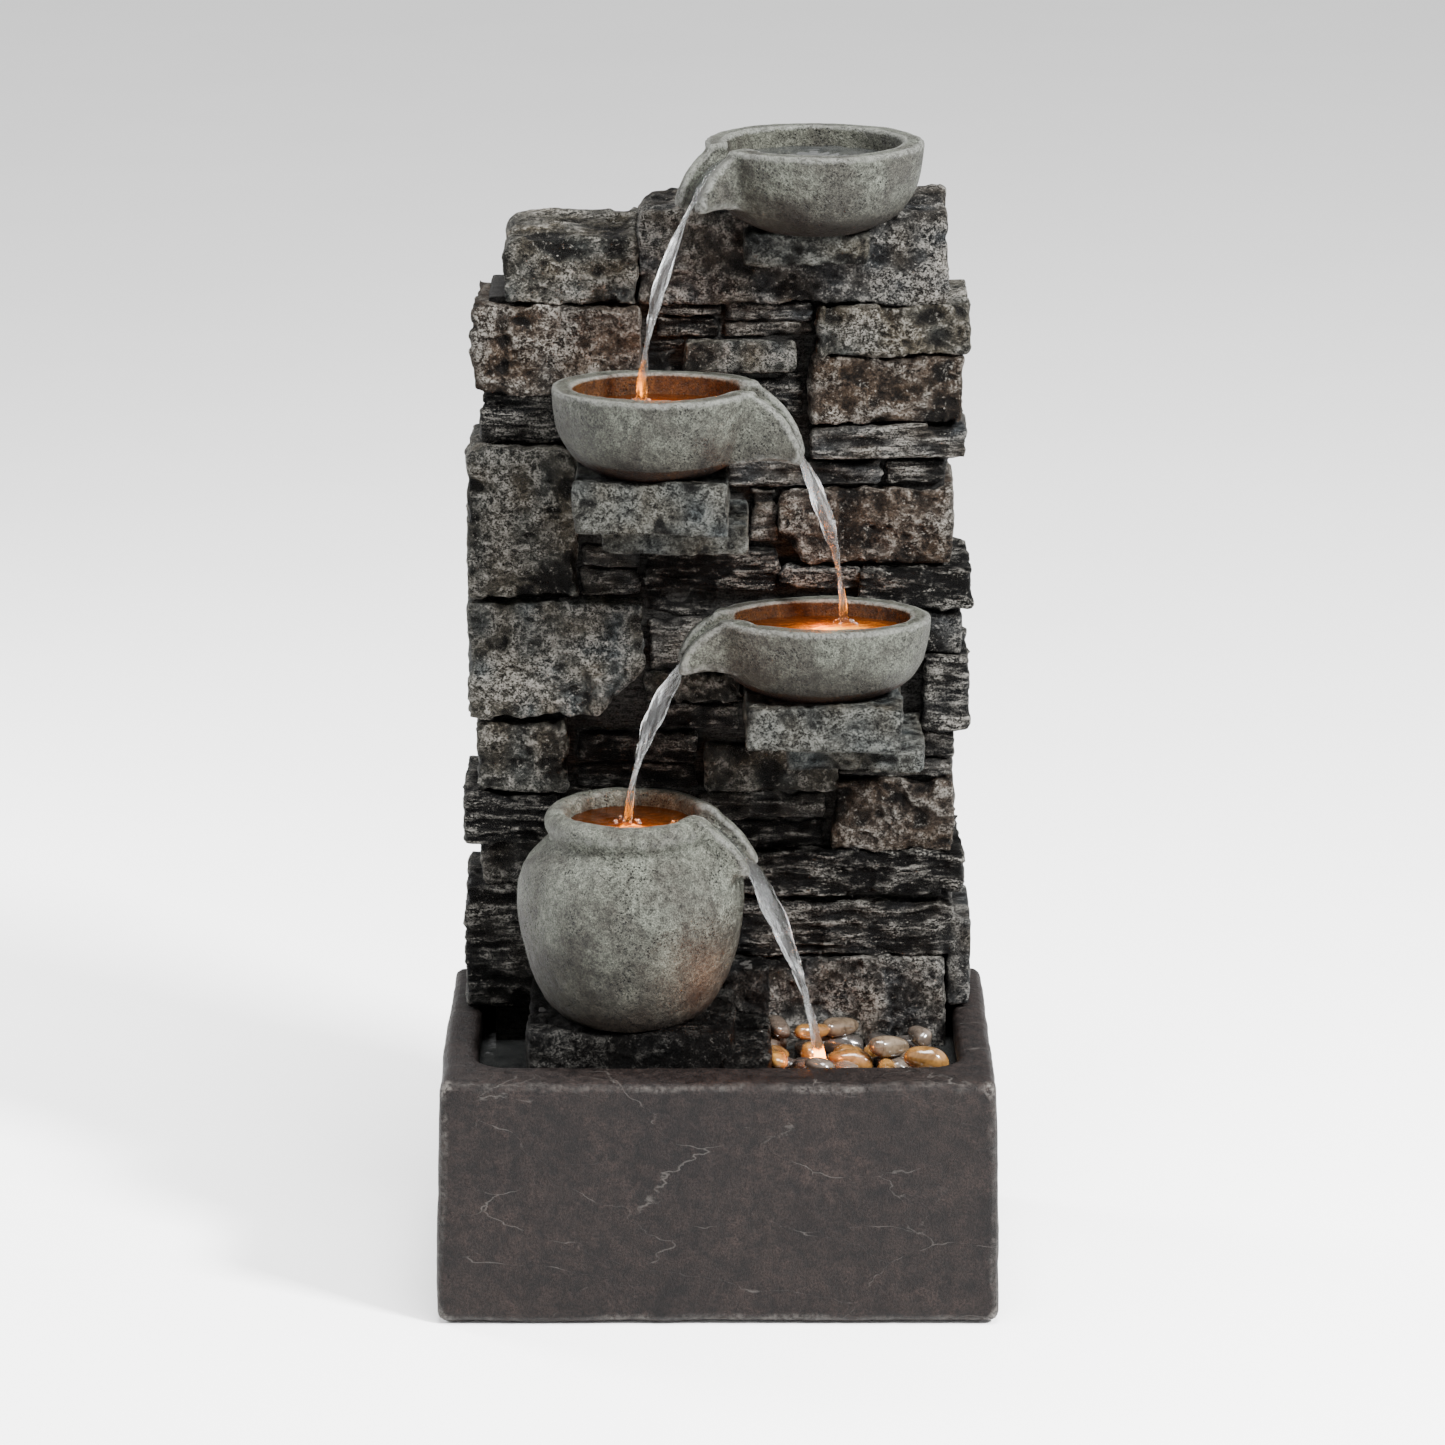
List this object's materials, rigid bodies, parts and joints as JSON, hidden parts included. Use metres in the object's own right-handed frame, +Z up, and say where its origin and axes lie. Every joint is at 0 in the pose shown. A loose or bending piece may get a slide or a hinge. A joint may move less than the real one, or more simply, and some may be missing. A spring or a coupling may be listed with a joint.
{
  "type": "tabletop water fountain",
  "caption": "Cascading fountain: a trough with a hollow stone-faced wall, spouted bowls on slabs, a lit pot on a plinth, a pebble pool and a rear pump hatch.",
  "frame": {"origin": "middle of the footprint, on the floor", "axes": "+Z up, the front faces -Y, +X is to the right seen from the front"},
  "size_m": [0.4, 0.277, 0.822],
  "materials": {
    "basin": "cast dark brown-grey resin stone, satin",
    "mortar": "dark grey mortar, matte",
    "stone": "split and layered stone-look castings, dry-brushed",
    "slab_stone": "pale grey layered stone look, matte",
    "bowl_concrete": "pitted concrete-look casting, satin",
    "pot_concrete": "pitted concrete-look casting, satin",
    "pebble": "wet polished river pebble",
    "rubber": "matte black",
    "black_plastic": "moulded, textured",
    "grey_plastic": "moulded",
    "pump_plastic": "moulded, semi-gloss black",
    "ceramic_shaft": "ground white",
    "screw_steel": "stainless",
    "tube_vinyl": "clear vinyl hose",
    "led_housing": "moulded black",
    "led_lens": "amber lens, lit",
    "lead_pvc": "black PVC sheath"
  },
  "bodies": {
    "fountain": {"basin_shell": "basin", "rubber_feet": "rubber", "pot_plinth": "mortar", "pool_divider": "mortar", "wall_core": "mortar", "rear_plate": "black_plastic", "rear_plate_screws": "screw_steel", "pot": "pot_concrete", "junction_box": "black_plastic", "junction_lid": "black_plastic", "cable_gland": "rubber", "led_bracket": "black_plastic", "pump_motor": "pump_plastic", "pump_volute": "pump_plastic", "pump_shaft": "ceramic_shaft", "pump_suction_cups": "rubber", "riser_tube": "tube_vinyl", "riser_grommet": "rubber", "riser_clips": "black_plastic", "bowl_top": "bowl_concrete", "bowl_left": "bowl_concrete", "bowl_right": "bowl_concrete", "stones_cap": "stone", "stones_upper_left": "stone", "stones_upper_middle": "stone", "stones_upper_right": "stone", "stones_middle_left": "stone", "stones_middle": "stone", "stones_middle_right": "stone", "stones_lower_left": "stone", "stones_lower_right": "stone", "slab_top_bowl": "slab_stone", "slabs_left_bowl": "slab_stone", "slabs_right_bowl": "slab_stone", "led_housing_bowl_left": "led_housing", "led_housing_bowl_right": "led_housing", "led_housing_pot": "led_housing", "led_housing_pool": "led_housing", "led_lens_bowl_left": "led_lens", "led_lens_bowl_right": "led_lens", "led_lens_pot": "led_lens", "led_lens_pool": "led_lens", "lead_bowl_left": "lead_pvc", "lead_bowl_right": "lead_pvc", "lead_pot": "lead_pvc", "lead_pool": "lead_pvc", "lead_pump": "lead_pvc", "lead_trunk": "lead_pvc"},
    "hatch": {"service_hatch": "black_plastic", "hatch_gasket": "rubber", "hatch_screws": "screw_steel"},
    "impeller": {"pump_impeller": "pump_plastic"},
    "strainer": {"pump_strainer": "pump_plastic"},
    "flow_dial": {"pump_flow_dial": "grey_plastic"},
    "grate": {"pebble_grate": "black_plastic", "pebbles": "pebble"}
  },
  "joints": [
    {"name": "hatch_off", "type": "slide", "parent": "fountain", "child": "hatch", "axis": [0, 1, 0], "range_m": [0, 0.08]},
    {"name": "impeller_spin", "type": "hinge", "parent": "fountain", "child": "impeller", "pos_m": [0.06, 0.084, 0.046], "axis": [1, 0, 0], "continuous": true},
    {"name": "strainer_off", "type": "slide", "parent": "fountain", "child": "strainer", "axis": [1, 0, 0], "range_m": [0, 0.04]},
    {"name": "flow_dial_turn", "type": "hinge", "parent": "strainer", "child": "flow_dial", "pos_m": [0.0975, 0.084, 0.046], "axis": [1, 0, 0], "range_deg": [0, 90]},
    {"name": "grate_lift", "type": "slide", "parent": "fountain", "child": "grate", "axis": [0, 0, 1], "range_m": [0, 0.06]}
  ]
}
